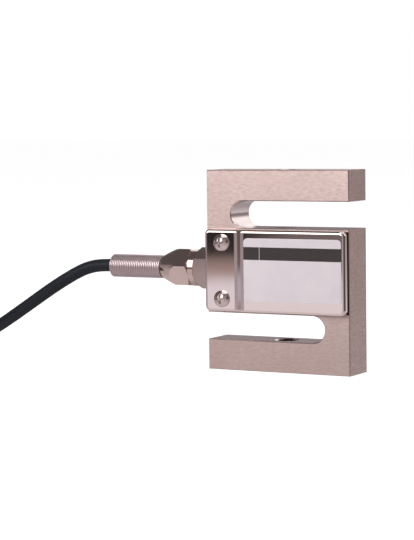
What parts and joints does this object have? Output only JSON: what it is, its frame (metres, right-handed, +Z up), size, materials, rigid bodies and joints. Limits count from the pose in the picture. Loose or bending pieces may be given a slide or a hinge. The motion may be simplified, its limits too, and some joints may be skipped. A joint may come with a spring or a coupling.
{
  "type": "s type load cell",
  "caption": "S-type load cell: a nickel-plated steel S-beam with threaded ends, formed covers, a cable gland with a strain-relief spring, and its cable put away in a tied hank.",
  "frame": {"origin": "on the axis of the two mounting threads, at the beam's underside", "axes": "+Z up along the two mounting threads; +X along the beam's width, away from the cable gland; -Y out of the labelled cover"},
  "size_m": [0.252, 0.0378, 0.064],
  "materials": {
    "beam_metal": "satin nickel plate, fine ground grain",
    "cover_metal": "bright formed sheet",
    "cover_screw": "bright plated",
    "label_plate": "matt film, one dark band",
    "gland_metal": "bright nickel plate",
    "spring_wire": "bright drawn wire",
    "black_rubber": "matt",
    "clamp_plastic": "matt moulded",
    "cable_jacket": "smooth satin jacket",
    "tie_strap": "matt",
    "sleeve_plastic": "shrunk sleeve",
    "gauge_foil": "amber film",
    "board_green": "lacquered board",
    "chip_body": "matt",
    "lead_red": "insulation",
    "lead_black": "insulation",
    "lead_green": "insulation",
    "lead_white": "insulation",
    "lead_shield": "tinned strands",
    "gauge_wire": "enamelled wire"
  },
  "bodies": {
    "root": {"s_beam": "beam_metal", "front_cover": "cover_metal", "rear_cover": "cover_metal", "front_cover_pad": "black_rubber", "rear_cover_pad": "black_rubber", "gland_o_ring": "black_rubber", "gland_seal": "black_rubber", "front_screw_upper": "cover_screw", "front_screw_lower": "cover_screw", "rear_screw_upper": "cover_screw", "rear_screw_lower": "cover_screw", "front_label": "label_plate", "gland_body": "gland_metal", "gland_nut": "gland_metal", "gland_clamp_sleeve": "clamp_plastic", "strain_relief_spring": "spring_wire", "strain_gauge_upper_left": "gauge_foil", "strain_gauge_upper_right": "gauge_foil", "strain_gauge_lower_left": "gauge_foil", "strain_gauge_lower_right": "gauge_foil", "terminal_board": "board_green", "balance_resistor": "chip_body", "span_resistor": "chip_body", "inner_lead_red": "lead_red", "end_lead_red": "lead_red", "inner_lead_black": "lead_black", "end_lead_black": "lead_black", "inner_lead_green": "lead_green", "end_lead_green": "lead_green", "inner_lead_white": "lead_white", "end_lead_white": "lead_white", "end_lead_shield": "lead_shield", "gauge_wires_upper_left": "gauge_wire", "gauge_wires_upper_right": "gauge_wire", "gauge_wires_lower_left": "gauge_wire", "gauge_wires_lower_right": "gauge_wire", "cable_in_gland": "cable_jacket", "cable": "cable_jacket", "cable_hank": "cable_jacket", "cable_tail": "cable_jacket", "hank_tie": "tie_strap", "cable_end_sleeve": "sleeve_plastic"}
  },
  "joints": []
}
